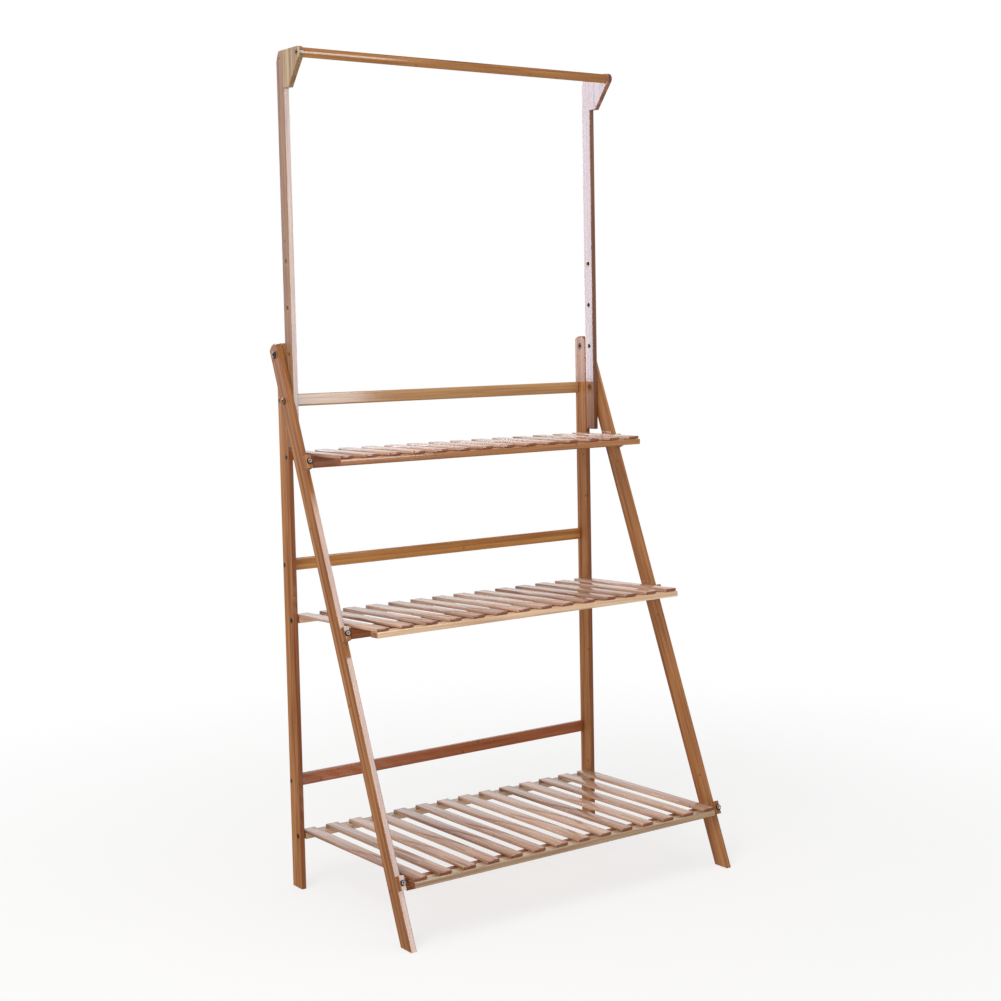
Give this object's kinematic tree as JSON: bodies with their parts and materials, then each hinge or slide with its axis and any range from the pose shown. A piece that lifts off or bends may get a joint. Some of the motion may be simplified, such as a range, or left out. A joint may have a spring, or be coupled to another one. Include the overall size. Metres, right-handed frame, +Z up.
{
  "type": "plant ladder stand",
  "caption": "Folding bamboo plant ladder stand with slatted shelves of growing depth, leaning front legs and a height-adjustable hanging bar.",
  "frame": {"origin": "on the floor, under the middle of the stand in width and in depth", "axes": "+Z up, +X to the right for someone facing the front, +Y from the front legs to the rear posts"},
  "size_m": [0.7016, 0.4232, 1.4767],
  "materials": {
    "bamboo": "lacquered bamboo strips, satin, golden brown with darker knots",
    "shelf_bamboo": "lacquered bamboo slats, satin, pinkish beige",
    "steel": "bright plated socket heads",
    "brass": "brass-coloured plated bolts and nuts"
  },
  "bodies": {
    "frame": {"rear_post_left": "bamboo", "rear_post_right": "bamboo", "back_rail_top": "bamboo", "back_rail_middle": "bamboo", "back_rail_bottom": "bamboo", "rail_screw_top_left": "steel", "rail_screw_top_right": "steel", "rail_screw_middle_left": "steel", "rail_screw_middle_right": "steel", "rail_screw_bottom_left": "steel", "rail_screw_bottom_right": "steel", "leg_pivot_bolt_left": "steel", "leg_pivot_bolt_right": "steel", "leg_pivot_nut_left": "steel", "leg_pivot_nut_right": "steel", "top_shelf_pivot_left": "steel", "top_shelf_pivot_right": "steel", "middle_shelf_pivot_left": "steel", "middle_shelf_pivot_right": "steel", "bottom_shelf_pivot_left": "steel", "bottom_shelf_pivot_right": "steel"},
    "leg_left": {"front_leg_left": "bamboo", "hanger_bolt_left": "brass", "catch_block_top_left": "bamboo", "catch_bolt_top_left": "steel", "catch_block_middle_left": "bamboo", "catch_bolt_middle_left": "steel", "catch_block_bottom_left": "bamboo", "catch_bolt_bottom_left": "steel"},
    "leg_right": {"front_leg_right": "bamboo", "hanger_bolt_right": "brass", "catch_block_top_right": "bamboo", "catch_bolt_top_right": "steel", "catch_block_middle_right": "bamboo", "catch_bolt_middle_right": "steel", "catch_block_bottom_right": "bamboo", "catch_bolt_bottom_right": "steel"},
    "top_shelf": {"top_shelf_deck": "shelf_bamboo", "top_shelf_front_rail": "shelf_bamboo", "top_shelf_bearer": "bamboo"},
    "middle_shelf": {"middle_shelf_deck": "shelf_bamboo", "middle_shelf_front_rail": "shelf_bamboo", "middle_shelf_bearer": "bamboo"},
    "bottom_shelf": {"bottom_shelf_deck": "shelf_bamboo", "bottom_shelf_front_rail": "shelf_bamboo", "bottom_shelf_bearer": "bamboo"},
    "hanger": {"hanger_post_left": "bamboo", "bar_bracket_left": "bamboo", "hanger_nut_left": "brass", "bar_screw_left": "steel", "hanger_post_right": "bamboo", "bar_bracket_right": "bamboo", "hanger_nut_right": "brass", "bar_screw_right": "steel", "hanging_bar": "bamboo"}
  },
  "joints": [
    {"name": "left_leg_fold", "type": "hinge", "parent": "frame", "child": "leg_left", "pos_m": [-0.3426, 0.19282, 0.959], "axis": [1, 0, 0], "range_deg": [0, 22]},
    {"name": "right_leg_fold", "type": "hinge", "parent": "frame", "child": "leg_right", "pos_m": [0.3426, 0.19282, 0.959], "axis": [1, 0, 0], "range_deg": [0, 22]},
    {"name": "top_shelf_fold", "type": "hinge", "parent": "frame", "child": "top_shelf", "pos_m": [0, 0.18342, 0.7791], "axis": [-1, 0, 0], "range_deg": [0, 88]},
    {"name": "middle_shelf_fold", "type": "hinge", "parent": "frame", "child": "middle_shelf", "pos_m": [0, 0.18342, 0.4885], "axis": [-1, 0, 0], "range_deg": [0, 88]},
    {"name": "bottom_shelf_fold", "type": "hinge", "parent": "frame", "child": "bottom_shelf", "pos_m": [0, 0.18342, 0.0966], "axis": [-1, 0, 0], "range_deg": [0, 88]},
    {"name": "hanger_height", "type": "slide", "parent": "frame", "child": "hanger", "axis": [0, 0, -1], "range_m": [0, 0.24]}
  ]
}
